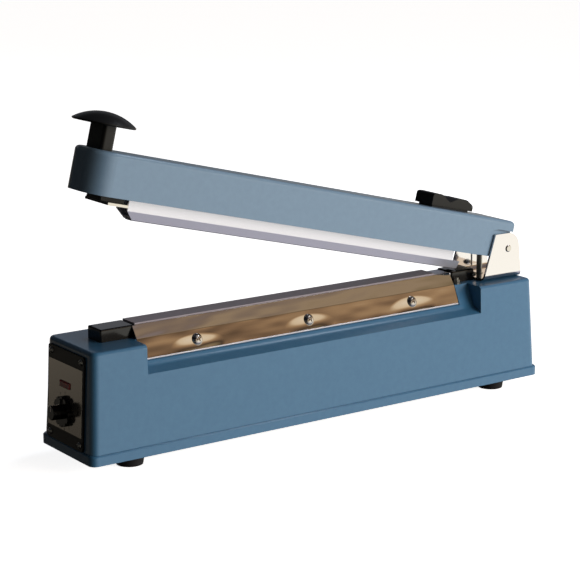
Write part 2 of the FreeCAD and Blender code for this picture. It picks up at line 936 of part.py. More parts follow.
# Hinge bracket, pin and spring
def ear_outline(y):
    front_low = Vec(bracket_front, y, deck)
    front_high = Vec(pin_x - ear_front_high, y, pin_z + ear_top)
    arc_start = Vec(pin_x, y, pin_z + ear_top)
    bend = math.sqrt(0.5)
    arc_centre_z = pin_z + ear_top - ear_rear_radius
    arc_middle = Vec(pin_x + ear_rear_radius * bend, y, arc_centre_z + ear_rear_radius * bend)
    arc_end = Vec(pin_x + ear_rear_radius, y, arc_centre_z)
    rear_low = Vec(bracket_rear, y, deck)
    edges = [
        Part.makeLine(front_low, front_high),
        Part.makeLine(front_high, arc_start),
        Part.Arc(arc_start, arc_middle, arc_end).toShape(),
        Part.makeLine(arc_end, rear_low),
        Part.makeLine(rear_low, front_low),
    ]
    return Part.Face(Part.Wire(edges))


def build_bracket():
    outline = ear_outline(-ear_outer_y).extrude(Vec(0, 2 * ear_outer_y, 0))
    x0 = bracket_front - ear_thickness
    x1 = bracket_rear + ear_thickness
    over = pin_z + base_height
    outer = box(x0, x1, -ear_outer_y, ear_outer_y, deck, over)
    outer = outer.makeFillet(bracket_bend_radius, runs_along_x(outer, deck))
    inner_y = ear_outer_y - ear_thickness
    inner = box(x0, x1, -inner_y, inner_y, deck + ear_thickness, over)
    inner = inner.makeFillet(bracket_bend_radius - ear_thickness,
                             runs_along_x(inner, deck + ear_thickness))
    bracket = outer.cut(inner).common(outline)
    bracket = bracket.cut(rod(Vec(pin_x, -base_width, pin_z), Vec(0, 1, 0), pin_radius,
                              2 * base_width))
    for x in bracket_screw_places:
        bracket = bracket.cut(rod(Vec(x, 0, deck), Vec(0, 0, 1), screw_radius, ear_thickness * 2))
    bracket = bracket.cut(rod(Vec(plunger_x, 0, deck), Vec(0, 0, 1),
                              plunger_radius + plunger_hole_gap, ear_thickness * 2))
    save(bracket, "hinge_bracket")
    screws = []
    for x in bracket_screw_places:
        point = Vec(x, 0, deck + ear_thickness)
        screws.append(dome_screw(point, Vec(0, 0, 1), bracket_head_radius, bracket_head_height,
                                 screw_radius, bracket_screw_length - slip + ear_thickness))
    save(Part.makeCompound(screws), "bracket_screws")
    half = ear_outer_y + pin_overhang
    pin = rod(Vec(pin_x, -half, pin_z), Vec(0, 1, 0), pin_radius, 2 * half)
    ends = [edge for edge in pin.Edges if len(edge.Vertexes) == 1]
    save(pin.makeChamfer(pin_end_chamfer, ends), "hinge_pin")
    save(return_spring(), "return_spring")


def return_spring():
    half = spring_length / 2
    leg_y = half - spring_wire / 2
    along = Vec(0, 1, 0)
    coil = rod(Vec(pin_x, -half, pin_z), along, spring_radius + spring_wire / 2, spring_length)
    coil = coil.cut(rod(Vec(pin_x, -spring_length, pin_z), along,
                        spring_radius - spring_wire / 2, 2 * spring_length))
    lower = rod(Vec(pin_x + spring_radius, leg_y, pin_z), Vec(0, 0, -1), spring_leg_radius,
                pin_rise - ear_thickness)
    start = arm_point(0, -leg_y, spring_radius)
    tip = arm_point(spring_reach, -leg_y, arm_top - arm_wall - spring_wire / 2 - slip)
    upper = swing(rod(start, tip - start, spring_leg_radius, (tip - start).Length))
    return join([coil, lower, upper])


# Arm casting
def arm_outline(half, nose, tail, radius, w0, w1):
    x_nose = pin_x - nose
    x_tail = pin_x - tail
    z0 = pin_z + w0
    turn = math.sqrt(0.5)
    a = Vec(x_tail, -half, z0)
    b = Vec(x_nose + radius, -half, z0)
    c = Vec(x_nose, -half + radius, z0)
    d = Vec(x_nose, half - radius, z0)
    e = Vec(x_nose + radius, half, z0)
    f = Vec(x_tail, half, z0)
    near_middle = Vec(x_nose + radius - radius * turn, -half + radius - radius * turn, z0)
    far_middle = Vec(x_nose + radius - radius * turn, half - radius + radius * turn, z0)
    edges = [
        Part.makeLine(a, b),
        Part.Arc(b, near_middle, c).toShape(),
        Part.makeLine(c, d),
        Part.Arc(d, far_middle, e).toShape(),
        Part.makeLine(e, f),
        Part.makeLine(f, a),
    ]
    return Part.Face(Part.Wire(edges)).extrude(Vec(0, 0, w1 - w0))


def build_arm():
    outer = arm_outline(arm_half_width, arm_nose, arm_tail, arm_nose_radius, arm_bottom, arm_top)
    rim = edges_at(outer, lambda p: abs(p.z - pin_z - arm_top) < near)
    outer = outer.makeFillet(arm_fillet, rim)
    inner_half = arm_half_width - arm_wall
    cheek_outer = ear_outer_y - ear_thickness - cheek_gap
    cheek_inner = cheek_outer - cheek_wall
    room_tail = ear_pocket_low + arm_wall
    under = arm_bottom - arm_wall
    roof = arm_top - arm_wall
    room = arm_outline(inner_half, arm_nose - arm_wall, room_tail,
                       arm_nose_radius - arm_wall, under, roof)
    tail_room = arm_box(arm_tail + arm_wall, room_tail + arm_wall, -cheek_inner, cheek_inner,
                        under, roof)
    tail_gap = arm_box(arm_tail - arm_wall, arm_tail + 2 * arm_wall, -cheek_inner, cheek_inner,
                       under, ear_pocket_top)
    shoulder = ear_pocket_top - ear_pocket_shoulder
    pocket_points = [
        arm_point(ear_pocket_low, cheek_outer, arm_bottom),
        arm_point(ear_pocket_high, cheek_outer, ear_pocket_shoulder),
        arm_point(ear_pocket_high - shoulder, cheek_outer, ear_pocket_top - ear_pocket_ease),
        arm_point(ear_pocket_high - 2 * shoulder, cheek_outer, ear_pocket_top),
        arm_point(-ear_pocket_low, cheek_outer, ear_pocket_top),
        arm_point(-ear_pocket_low, cheek_outer, under),
        arm_point(ear_pocket_low, cheek_outer, under),
    ]
    pocket = prism(pocket_points, Vec(0, arm_half_width, 0))
    arm = cut(outer, [room, tail_room, tail_gap] + both_sides(pocket))
    added = both_sides(rod(Vec(pin_x, cheek_inner, pin_z), Vec(0, 1, 0), cheek_radius,
                           cheek_wall))
    half = shelf_length / 2
    for u in (bar_pin_rear, bar_pin_front):
        added.append(arm_box(u - half, u + half, -inner_half - seat, shelf_far_y,
                             shelf_low, shelf_low + shelf_thickness))
        added.append(arm_box(u + half - arm_wall, u + half, -inner_half - seat, shelf_far_y,
                             shelf_low, roof + seat))
    added.append(arm_box(contact_rear + slip, contact_front + spacer_overhang, -inner_half - seat,
                         inner_half + seat, spacer_top, spacer_top + nose_rib_thickness))
    added.append(arm_box(plunger_reach - push_lug_half, plunger_reach + push_lug_half,
                         -cheek_inner - seat, cheek_inner + seat,
                         arm_bottom, arm_bottom + push_lug_thickness))
    added.append(rod(arm_point(handle_at, 0, roof + seat), Vec(0, 0, -1),
                     handle_boss_radius, handle_boss_height))
    arm = join([arm] + added)
    tools = [rod(Vec(pin_x, -base_width, pin_z), Vec(0, 1, 0), pin_radius + running_gap,
                 2 * base_width)]
    tools.append(rod(arm_point(handle_at, 0, 0), Vec(0, 0, 1), handle_bolt_radius, base_height))
    for u in (bar_pin_rear, bar_pin_front):
        tools.append(rod(arm_point(u, 0, 0), Vec(0, 0, 1), bar_pin_radius + running_gap,
                         shelf_low + 2 * shelf_thickness))
    slot_start = cutter_at - lug_spread / 2 - lug_length / 2 - slot_end_gap
    slot_end = slot_start + lug_spread + lug_length + cutter_travel + 2 * slot_end_gap
    tools.append(arm_box(slot_start, slot_end, slot_y - slot_width / 2, slot_y + slot_width / 2,
                         roof - arm_wall, arm_top + arm_wall))
    middle = (contact_front + contact_rear) / 2
    tools += both_sides(rod(arm_point(middle, contact_screw_y, contact_low), Vec(0, 0, 1),
                            screw_radius, roof - contact_low - arm_wall))
    save(swing(cut(arm, tools)), "arm_casting")


# Spacer and contact plate under the nose
def build_contact():
    plate = arm_box(contact_rear, contact_front, -contact_width / 2, contact_width / 2,
                    contact_low, contact_low + contact_thickness)
    spacer = arm_box(contact_rear + slip, contact_front + spacer_overhang, -spacer_width / 2,
                     spacer_width / 2, contact_low + contact_thickness, spacer_top)
    start = arm_point((contact_front + contact_rear) / 2, contact_screw_y, contact_low)
    cone = Part.makeCone(contact_screw_head, screw_radius, contact_thickness, start,
                         Vec(0, 0, 1))
    length = spacer_top + nose_rib_thickness - contact_low
    shank = rod(start, Vec(0, 0, 1), screw_radius, length)
    screws = both_sides(cone.fuse(shank).removeSplitter())
    save(swing(cut(plate, screws)), "contact_plate")
    save(swing(cut(spacer, screws)), "contact_spacer")
    save(swing(Part.makeCompound(screws)), "contact_screws")


# Handle
def build_handle():
    low = arm_point(handle_at, 0, arm_top)
    stem_wire = round_rectangle(stem_length / 2, stem_width / 2, stem_corner, 0)
    stem = Part.Face(stem_wire).extrude(Vec(0, 0, stem_height))
    stem.translate(low)
    bolt_hole = rod(low, Vec(0, 0, 1), handle_bolt_radius, handle_bolt_room)
    save(swing(stem.cut(bolt_hole)), "handle_stem")
    outline = [
        Vec(0, 0, 0),
        Vec(cap_disc_radius - cap_rim_chamfer, 0, 0),
        Vec(cap_disc_radius, 0, cap_rim_chamfer),
        Vec(cap_disc_radius, 0, cap_rim),
    ]
    cap = turned_dome(outline, cap_dome)
    cap.translate(low + Vec(0, 0, stem_height))
    save(swing(cap), "handle_cap")
    bolt_start = arm_point(handle_at, 0, arm_top - arm_wall - handle_boss_height + seat)
    shank = rod(bolt_start, Vec(0, 0, 1), handle_bolt_radius,
                arm_wall + handle_boss_height - seat + handle_bolt_rise)
    head = hex_prism(bolt_start - Vec(0, 0, handle_nut_height), handle_nut_radius,
                     handle_nut_height)
    save(swing(head.fuse(shank).removeSplitter()), "handle_bolt")


# Press bar with its pad, guide pins and springs
def build_press_bar():
    half = bar_width / 2
    narrow = half - bar_chamfer_width
    wall = half - bar_wall
    floor = bar_bottom + bar_floor
    shoulder = bar_bottom + bar_chamfer_height
    inner_narrow = wall - bar_chamfer_width / 2
    inner_shoulder = shoulder + bar_wall / 3
    outline = [
        (-half, bar_top), (-half, shoulder), (-narrow, bar_bottom),
        (narrow, bar_bottom), (half, shoulder), (half, bar_top),
        (wall, bar_top), (wall, inner_shoulder), (inner_narrow, floor),
        (-inner_narrow, floor), (-wall, inner_shoulder), (-wall, bar_top),
    ]
    points = [arm_point(bar_front, y, w) for y, w in outline]
    bar = prism(points, Vec(bar_front - bar_rear_low, 0, 0))
    step = arm_box(bar_rear_low - bar_wall, bar_rear_top, -bar_width, bar_width, shoulder, arm_top)
    bevel = prism([
        arm_point(bar_front - 2 * bar_bevel_run, -bar_width, bar_bottom - bar_chamfer_height),
        arm_point(bar_front + bar_bevel_run, -bar_width, shoulder + bar_chamfer_height),
        arm_point(bar_front + bar_bevel_run, -bar_width, bar_bottom - bar_chamfer_height),
    ], Vec(0, 2 * bar_width, 0))
    pad_half = pad_width / 2
    groove_top = pad_bottom + pad_depth
    groove = arm_box(bar_rear_low - bar_wall, bar_front + bar_wall, -pad_half, pad_half,
                     pad_bottom, groove_top)
    bar = cut(bar, [step, bevel, groove])
    pad = arm_box(bar_rear_low + pad_end_gap, bar_front - bar_bevel_run - pad_end_gap,
                  -pad_half, pad_half, pad_bottom, groove_top)
    pad = pad.makeChamfer(pad_proud / 2, runs_along_x(pad, pin_z + pad_bottom))
    pins = []
    springs = []
    collar_top = floor + bar_pin_collar_height
    for u in (bar_pin_rear, bar_pin_front):
        foot = arm_point(u, 0, floor)
        head_low = shelf_low + shelf_thickness + slide_gap
        shank = rod(foot, Vec(0, 0, 1), bar_pin_radius, head_low - floor)
        collar = rod(foot, Vec(0, 0, 1), bar_pin_head_radius, bar_pin_collar_height)
        head = rod(arm_point(u, 0, head_low), Vec(0, 0, 1), bar_pin_head_radius,
                   bar_pin_head_height)
        pins.append(join([shank, collar, head]))
        length = shelf_low - collar_top - 2 * slide_gap
        tube = rod(arm_point(u, 0, collar_top + slide_gap), Vec(0, 0, 1), bar_spring_outer,
                   length)
        springs.append(tube.cut(rod(foot, Vec(0, 0, 1), bar_spring_inner, arm_top - floor)))
    save(swing(bar), "press_bar")
    save(swing(pad), "silicone_pad")
    save(swing(Part.makeCompound(pins)), "bar_guide_pins")
    save(swing(Part.makeCompound(springs)), "bar_springs")


# Film cutter
def build_cutter():
    half = foot_plate_length / 2
    side_half = foot_plate_width / 2
    low = arm_top + slide_gap
    plate_top = low + foot_plate_thickness
    keel_half = slot_width / 2 - slide_gap
    retainer_top = arm_top - arm_wall - slide_gap
    retainer_low = retainer_top - retainer_thickness
    pieces = [arm_box(cutter_at - half, cutter_at + half, knob_side - side_half,
                      knob_side + side_half, low, plate_top)]
    pieces.append(arm_box(cutter_at - half + lug_length / 3, cutter_at + half - lug_length / 3,
                          slot_y - retainer_width / 2, slot_y + retainer_width / 2,
                          retainer_low, retainer_top))
    for sign in (-1, 1):
        u = cutter_at + sign * lug_spread / 2
        pieces.append(arm_box(u - lug_length / 2, u + lug_length / 2, slot_y - keel_half,
                              slot_y + keel_half, retainer_low, low + seat))
    window_half = cutter_stem_length / 2 + slide_gap
    thick_half = cutter_stem_thickness / 2 + slide_gap
    carriage = join(pieces).cut(arm_box(
        cutter_at - window_half, cutter_at + window_half, slot_y - thick_half,
        slot_y + thick_half, retainer_low - slot_width, plate_top + slot_width))
    save(swing(carriage), "cutter_carriage")
    lift = cutter_press + slide_gap
    roof = plate_top + lift
    stem_half = cutter_stem_length / 2
    stem_low = retainer_low - 2 * knob_pocket_gap
    stem = arm_box(cutter_at - stem_half, cutter_at + stem_half,
                   slot_y - cutter_stem_thickness / 2, slot_y + cutter_stem_thickness / 2,
                   stem_low, roof + seat)
    pocket_half = half + knob_pocket_gap
    pocket_side = side_half + knob_pocket_gap
    pocket = arm_box(cutter_at - pocket_half, cutter_at + pocket_half, knob_side - pocket_side,
                     knob_side + pocket_side, arm_top, roof)
    knob = join([knob_body().cut(pocket), stem])
    blade_half = blade_length / 2
    blade_y0 = slot_y - blade_thickness / 2
    blade_top = stem_low + blade_seat_depth
    blade_slot = arm_box(cutter_at - blade_half, cutter_at + blade_half, blade_y0,
                         blade_y0 + blade_thickness, stem_low - blade_seat_depth, blade_top)
    save(swing(knob.cut(blade_slot)), "cutter_knob")
    shoulder = blade_tip + blade_shoulder
    blade_points = [
        arm_point(cutter_at - blade_half, blade_y0, blade_top),
        arm_point(cutter_at + blade_half, blade_y0, blade_top),
        arm_point(cutter_at + blade_half, blade_y0, shoulder),
        arm_point(cutter_at, blade_y0, blade_tip),
        arm_point(cutter_at - blade_half, blade_y0, shoulder),
    ]
    save(swing(prism(blade_points, Vec(0, blade_thickness, 0))), "cutter_blade")
    springs = []
    for sign in (-1, 1):
        foot = arm_point(cutter_at + sign * cutter_spring_spread, 0, plate_top)
        tube = rod(foot, Vec(0, 0, 1), cutter_spring_outer, lift)
        springs.append(tube.cut(rod(foot, Vec(0, 0, 1), cutter_spring_inner, lift)))
    save(swing(Part.makeCompound(springs)), "cutter_springs")


def knob_body():
    # Two thumb lobes with a hollow between them, higher at the end facing the handle
    base = arm_top + knob_low
    top = arm_top + knob_height
    front = cutter_at + knob_length / 2
    y0 = knob_side - knob_width / 2

    def place(share, drop):
        return arm_point(front - knob_length * share, y0, top - drop)

    start = place(0, knob_crest_chamfer)
    front_crest = place(knob_front_end / 2, 0)
    front_end = place(knob_front_end, knob_rear_drop / 2)
    hollow = place(knob_hollow, knob_dip)
    rear_end = place(knob_rear_end, knob_rear_drop)
    rear_crest = place((1 + knob_rear_end) / 2, knob_rear_drop + slip)
    finish = place(1, knob_dip)
    front_low = arm_point(front, y0, base)
    rear_low = arm_point(front - knob_length, y0, base)
    edges = [
        Part.makeLine(front_low, start),
        Part.Arc(start, front_crest, front_end).toShape(),
        Part.Arc(front_end, hollow, rear_end).toShape(),
        Part.Arc(rear_end, rear_crest, finish).toShape(),
        Part.makeLine(finish, rear_low),
        Part.makeLine(rear_low, front_low),
    ]
    return Part.Face(Part.Wire(edges)).extrude(Vec(0, knob_width, 0))


# Control panel
def build_panel():
    front = panel_thickness
    plate = panel_box(0, front, -panel_width / 2, panel_width / 2,
                      -panel_height / 2, panel_height / 2)
    corners = [edge for edge in plate.Edges if abs(edge.Length - front) < near]
    plate = plate.makeFillet(panel_corner, corners)
    face = front + label_thickness
    label = panel_box(front, face, -label_width / 2, label_width / 2,
                      -label_height / 2, label_height / 2)
    half_y = lamp_width / 2
    low = lamp_rise - lamp_height / 2
    high = lamp_rise + lamp_height / 2
    through = 2 * housing_wall
    dial_hole = panel_rod(-through, through, 0, -dial_drop, bushing_radius)
    lamp_hole = panel_box(-through, through, -half_y, half_y, low, high)
    save(lean(cut(plate, [dial_hole, lamp_hole, panel_screw_holes()])), "panel_plate")
    save(lean(cut(label, [dial_hole, lamp_hole])), "panel_label")
    screws = []
    for sy in (-1, 1):
        for sv in (-1, 1):
            point = Vec(-end_at(panel_z) - front, panel_y + sy * panel_screw_y,
                        panel_z + sv * panel_screw_v)
            screws.append(dome_screw(point, Vec(-1, 0, 0), panel_screw_head,
                                     panel_screw_head_height, screw_radius,
                                     front + housing_wall))
    save(lean(Part.makeCompound(screws)), "panel_screws")
    lens = panel_box(-lamp_seat_depth, front + lamp_proud, -half_y, half_y, low, high)
    lens_face = -end_at(panel_z) - front - lamp_proud
    rim = edges_at(lens, lambda p: abs(p.x - lens_face) < near)
    save(lean(lens.makeFillet(lamp_edge, rim)), "lamp_lens")
    inset = lamp_seat_depth / 2
    lamp = panel_box(-lamp_body_depth, -lamp_seat_depth, -half_y + inset, half_y - inset,
                     low + inset, high - inset)
    save(lean(lamp), "lamp_body")
    pot = panel_rod(-pot_depth, 0, 0, -dial_drop, pot_radius)
    bushing = panel_rod(0, face + bushing_proud, 0, -dial_drop, bushing_radius)
    bore = panel_rod(-pot_bore_depth, through, 0, -dial_drop, shaft_radius + running_gap)
    save(lean(join([pot, bushing]).cut(bore)), "timer_potentiometer")
    board_half = panel_width / 2 - board_side_margin
    board_back = -board_gap - board_thickness
    board = panel_box(board_back, -board_gap, -board_half, board_half, -board_half_height,
                      board_half_height)
    pins = panel_box(-board_gap, -pot_depth, -board_pin_half, board_pin_half,
                     -dial_drop - board_pin_half, -dial_drop + board_pin_half)
    relay = panel_box(board_back - relay_length, board_back, -relay_width, 0, relay_low,
                      relay_low + relay_width)
    capacitor = panel_rod(board_back - capacitor_length, board_back, capacitor_y,
                          capacitor_rise, capacitor_radius)
    save(lean(join([board, pins, relay, capacitor])), "timer_board")
    save(lean(dial()), "timer_dial")
    shaft_end = face + dial_gap + dial_skirt + dial_grip_height - dial_bore_end
    shaft = panel_rod(slide_gap - pot_bore_depth, shaft_end, 0, -dial_drop, shaft_radius)
    save(lean(shaft), "timer_shaft")


def dial():
    start = panel_thickness + label_thickness + dial_gap
    skirt_front = start + dial_skirt
    grip_front = skirt_front + dial_grip_height
    skirt = panel_rod(start, skirt_front, 0, -dial_drop, dial_radius)
    grip = panel_rod(skirt_front - seat, grip_front, 0, -dial_drop, dial_grip_radius)
    face = -end_at(panel_z) - grip_front
    rim = edges_at(grip, lambda p: abs(p.x - face) < near)
    grip = grip.makeChamfer(dial_grip_chamfer, rim)
    pointer = panel_box(skirt_front - seat, skirt_front + dial_pointer_height,
                        -dial_pointer_width / 2, dial_pointer_width / 2,
                        -dial_drop, -dial_drop + dial_pointer_reach)
    knob = join([skirt, grip, pointer])
    for step in range(dial_notches):
        angle = math.radians(360 / dial_notches * (step + 0.5))
        y = dial_radius * math.cos(angle)
        v = -dial_drop + dial_radius * math.sin(angle)
        knob = knob.cut(panel_rod(start - dial_gap, skirt_front, y, v, dial_notch_radius))
    knob = knob.cut(panel_rod(start - dial_gap, start + dial_recess, 0, -dial_drop,
                              bushing_radius + dial_gap))
    return knob.cut(panel_rod(start - dial_gap, grip_front - dial_bore_end, 0, -dial_drop,
                              shaft_radius))


# Electrical pieces inside
def build_inside():
    floor = foot_height + bottom_plate_thickness
    x0 = seal_rear - transformer_inset
    x1 = x0 + core_length
    half = core_width / 2
    leg = core_leg / 2
    low = floor + core_yoke
    high = floor + core_height - core_yoke
    core = box(x0, x1, -half, half, floor, floor + core_height)
    core = cut(core, both_sides(box(x0, x1, leg, core_leg, low, high)))
    coil = box(x0 - coil_overhang, x1 + coil_overhang, -core_leg, core_leg, low, high)
    coil = coil.cut(box(x0, x1, -leg, leg, low, high))
    save(core, "transformer_core")
    save(coil, "transformer_coil")
    ceiling = deck - housing_wall
    switch_top = ceiling - switch_drop
    half = switch_width / 2
    switch_front = plunger_x - switch_length / 2
    switch_rear = plunger_x + switch_length / 2
    switch = box(switch_front, switch_rear, -half, half, switch_top - switch_height, switch_top)
    bridge = box(switch_front, switch_rear, -half - switch_bracket_thickness, -half,
                 switch_top - switch_height, ceiling)
    save(switch, "micro_switch")
    save(bridge, "switch_bracket")
    angle = math.radians(open_angle)
    lug_edge = plunger_reach - push_lug_half
    top = pin_z + lug_edge * math.sin(angle) + arm_bottom * math.cos(angle) - slip
    travel = top - (pin_z + arm_bottom - slip)
    low = switch_top + travel + slip
    shank = rod(Vec(plunger_x, 0, low), Vec(0, 0, 1), plunger_radius, top - low)
    tip = edges_at(shank, lambda p: abs(p.z - top) < near)
    shank = shank.makeChamfer(plunger_tip_chamfer, tip)
    collar = rod(Vec(plunger_x, 0, ceiling - slip), Vec(0, 0, -1), plunger_collar_radius,
                 plunger_collar_thickness)
    save(shank.fuse(collar).removeSplitter(), "switch_plunger")
    print("push rod travel", round(travel, 3))
    block_front = seal_rear - block_inset
    block = box(block_front, block_front + block_length, -block_width / 2, block_width / 2,
                floor, floor + block_height)
    for step in range(block_holes):
        x = block_front + block_length / 2 + block_pitch * (step - (block_holes - 1) / 2)
        block = block.cut(rod(Vec(x, 0, floor + block_height), Vec(0, 0, -1),
                              block_hole_radius, block_hole_depth))
    save(block, "terminal_block")


# Cord inlet and fuse holder on the rear wall
def build_rear_fittings():
    z = foot_height + inlet_rise
    wall_x = end_at(z)
    face = wall_x + fitting_gap
    inside = wall_x - housing_wall - inlet_inner_length
    along = Vec(1, 0, 0)
    thread = rod(Vec(inside, inlet_y, z), along, inlet_thread_radius, face - inside)
    head = hex_nut_x(Vec(face, inlet_y, z), inlet_nut_radius, inlet_proud)
    bore = rod(Vec(inside, inlet_y, z), along, inlet_radius, base_width)
    save(join([thread, head]).cut(bore), "cord_inlet")
    inside = wall_x - housing_wall - fuse_inner_length
    thread = rod(Vec(inside, fuse_y, z), along, fuse_thread_radius, face - inside)
    head = rod(Vec(face, fuse_y, z), along, fuse_radius, fuse_proud)
    slot = box(face + fuse_proud - fuse_slot_depth, face + 2 * fuse_proud,
               fuse_y - fuse_slot_half_length, fuse_y + fuse_slot_half_length,
               z - fuse_slot_half_width, z + fuse_slot_half_width)
    save(join([thread, head]).cut(slot), "fuse_holder")


def hex_nut_x(start, radius, length):
    points = []
    for step in range(6):
        angle = math.radians(60 * step)
        points.append(start + Vec(0, radius * math.cos(angle), radius * math.sin(angle)))
    return prism(points, Vec(length, 0, 0))


save(build_housing(), "base_housing")
build_bottom()
build_platform()
build_clamp_plate(-1, "near_clamp_plate")
build_clamp_plate(1, "far_clamp_plate")
build_clamp_screws()
build_end_caps()
build_bracket()
build_arm()
build_contact()
build_handle()
build_press_bar()
build_cutter()
build_panel()
build_inside()
build_rear_fittings()
print("press bar travel", round(bar_travel, 3))
print("pin", pin_x, pin_z, "wall tilt", round(wall_tilt, 4))
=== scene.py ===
import json
import math

import bmesh
import bpy
from mathutils import Matrix, Vector


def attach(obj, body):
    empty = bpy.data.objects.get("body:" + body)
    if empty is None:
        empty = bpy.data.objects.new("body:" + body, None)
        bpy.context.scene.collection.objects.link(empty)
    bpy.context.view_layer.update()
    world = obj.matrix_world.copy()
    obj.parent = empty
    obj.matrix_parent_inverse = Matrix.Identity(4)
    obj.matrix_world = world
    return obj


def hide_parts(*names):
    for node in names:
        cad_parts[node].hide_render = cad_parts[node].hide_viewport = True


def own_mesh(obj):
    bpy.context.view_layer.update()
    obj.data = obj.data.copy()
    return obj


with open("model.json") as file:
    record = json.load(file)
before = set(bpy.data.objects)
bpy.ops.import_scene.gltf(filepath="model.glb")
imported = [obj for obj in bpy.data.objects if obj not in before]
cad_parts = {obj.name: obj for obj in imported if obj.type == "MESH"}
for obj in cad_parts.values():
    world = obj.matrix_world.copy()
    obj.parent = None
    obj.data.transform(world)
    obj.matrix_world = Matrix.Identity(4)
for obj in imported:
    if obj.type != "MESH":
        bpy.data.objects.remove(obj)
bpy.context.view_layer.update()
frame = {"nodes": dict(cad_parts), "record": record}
nodes = frame["nodes"]
mm = 0.001


def linearColor(code):  # sRGB hex to the linear values that a shader takes
    parts = [int(code[i:i + 2], 16) / 255 for i in (1, 3, 5)]
    return (*[c / 12.92 if c < 0.04045 else ((c + 0.055) / 1.055) ** 2.4 for c in parts], 1.0)


def addNode(tree, kind, inputs=None, **settings):
    node = tree.nodes.new("ShaderNode" + kind)
    for name, value in settings.items():
        setattr(node, name, value)
    for socket, value in (inputs or {}).items():
        if isinstance(value, bpy.types.NodeSocket):
            tree.links.new(value, node.inputs[socket])
        else:
            node.inputs[socket].default_value = value
    return node


def newMaterial(name, look):
    made = bpy.data.materials.new(name)
    made.use_nodes = True
    tree = made.node_tree
    shader = tree.nodes["Principled BSDF"]
    for socket, value in look.items():
        shader.inputs[socket].default_value = value
    place = addNode(tree, "TexCoord").outputs["Object"]
    return made, tree, shader, place


def finish(tree, shader, color=None, height=None, relief=0.1, edge=0.0):
    if color is not None:
        tree.links.new(color, shader.inputs["Base Color"])
    normal = addNode(tree, "Bevel", {"Radius": edge}, samples=4).outputs["Normal"]
    if height is not None:
        inputs = {"Height": height, "Distance": relief * mm, "Strength": 1.0, "Normal": normal}
        normal = addNode(tree, "Bump", inputs).outputs["Normal"]
    tree.links.new(normal, shader.inputs["Normal"])


def arithmetic(tree, operation, first, second):
    return addNode(tree, "Math", {0: first, 1: second}, operation=operation).outputs["Value"]


def twoTone(tree, factor, low, high):
    mix = addNode(tree, "Mix", data_type="RGBA")
    tree.links.new(factor, mix.inputs["Factor"])
    mix.inputs["A"].default_value = linearColor(low)
    mix.inputs["B"].default_value = linearColor(high)
    return mix.outputs["Result"]


# Camera at the photo's angle, a long lens low over the front near corner
cameraSetup = {"place": (-0.8948, -1.2427, 0.4696), "looksAt": (-0.01617, -0.0025, 0.1102), "lens": 118.24}


def makeCamera(setup):
    camera = bpy.data.objects.new("camera", bpy.data.cameras.new("camera"))
    bpy.context.scene.collection.objects.link(camera)
    camera.location = setup["place"]
    aim = Vector(setup["looksAt"]) - Vector(setup["place"])
    camera.rotation_mode = "QUATERNION"
    camera.rotation_quaternion = aim.to_track_quat("-Z", "Y")
    camera.data.lens = setup["lens"]
    camera.data.sensor_width = 36.0
    bpy.context.scene.camera = camera


makeCamera(cameraSetup)
print("camera placed")

# Pale floor, a low key light from the right, two faint fills and a soft room for the metal to mirror
studio = {
    "floorSize": 40.0,
    "floorColor": "#fbfbfb",
    "floorGlow": 0.9,
    "aim": (0, 0, 0.1),
    "lights": [
        {"name": "keySoftbox", "place": (1.3, -1.95, 0.46), "size": (1.6, 0.8), "power": 50.0,
         "color": "#fffaf4"},
        {"name": "topSoftbox", "place": (1.12, -0.2, 1.68), "size": (1.0, 0.3), "power": 4.0,
         "color": "#eef4ff", "mirrored": True},
        {"name": "rearSoftbox", "place": (1.7, 0.6, 0.8), "size": (0.8, 0.8), "power": 10.0,
         "color": "#eef4ff"},
    ],
    # Each ramp is a list of heights, from straight down at -1 to straight up at 1, with a color
    "room": {
        "strength": 1.3,
        "panelEnd": 0.16,
        "dimFrom": -0.5,
        "dimTo": 0.25,
        "toLight": (0.56, -0.79, 0.0),
        "turnFrom": 0.3,
        "turnTo": 0.65,
        "lit": [
            (-1.0, "#3c3936"), (-0.72, "#84828f"), (-0.42, "#c4c2ca"), (-0.24, "#fffdf0"), (0.02, "#f0e6d4"),
            (0.33, "#dcc6a6"), (0.40, "#a98a68"), (0.46, "#866b52"), (0.53, "#4a3c30"), (0.60, "#7d6c52"),
            (0.66, "#9c8870"), (0.72, "#7b6b60"), (0.80, "#99939f"), (1.0, "#5c6068")],
        "behind": [
            (-1.0, "#0c0d0c"), (-0.5, "#2a2723"), (-0.3, "#5a5650"), (-0.17, "#fff4e2"), (-0.08, "#33342f"),
            (0.12, "#2f3134"), (0.24, "#8e9096"), (0.45, "#1d1e21"), (1.0, "#4a4d54")],
    },
}


def makeStudio(setup):
    shape = bmesh.new()
    bmesh.ops.create_grid(shape, x_segments=1, y_segments=1, size=setup["floorSize"] / 2)
    floorMesh = bpy.data.meshes.new("floor")
    shape.to_mesh(floorMesh)
    shape.free()
    floor = bpy.data.objects.new("floor", floorMesh)
    bpy.context.scene.collection.objects.link(floor)
    white, tree, shader, place = newMaterial("matteWhitePaper", {"Roughness": 0.9})
    shader.inputs["Base Color"].default_value = linearColor(setup["floorColor"])
    shader.inputs["Emission Color"].default_value = linearColor(setup["floorColor"])
    shader.inputs["Emission Strength"].default_value = setup["floorGlow"]
    floorMesh.materials.append(white)
    floor.visible_diffuse = False
    floor.visible_glossy = False
    for light in setup["lights"]:
        data = bpy.data.lights.new(light["name"], "AREA")
        data.shape = "RECTANGLE"
        data.size, data.size_y = light["size"]
        data.energy = light["power"]
        data.color = linearColor(light["color"])[:3]
        lamp = bpy.data.objects.new(light["name"], data)
        bpy.context.scene.collection.objects.link(lamp)
        lamp.location = light["place"]
        lamp.visible_glossy = light.get("mirrored", False)  # flat metal mirrors the room alone
        lamp.rotation_mode = "QUATERNION"
        lamp.rotation_quaternion = (Vector(setup["aim"]) - lamp.location).to_track_quat("-Z", "Y")
    makeRoom(setup["room"])


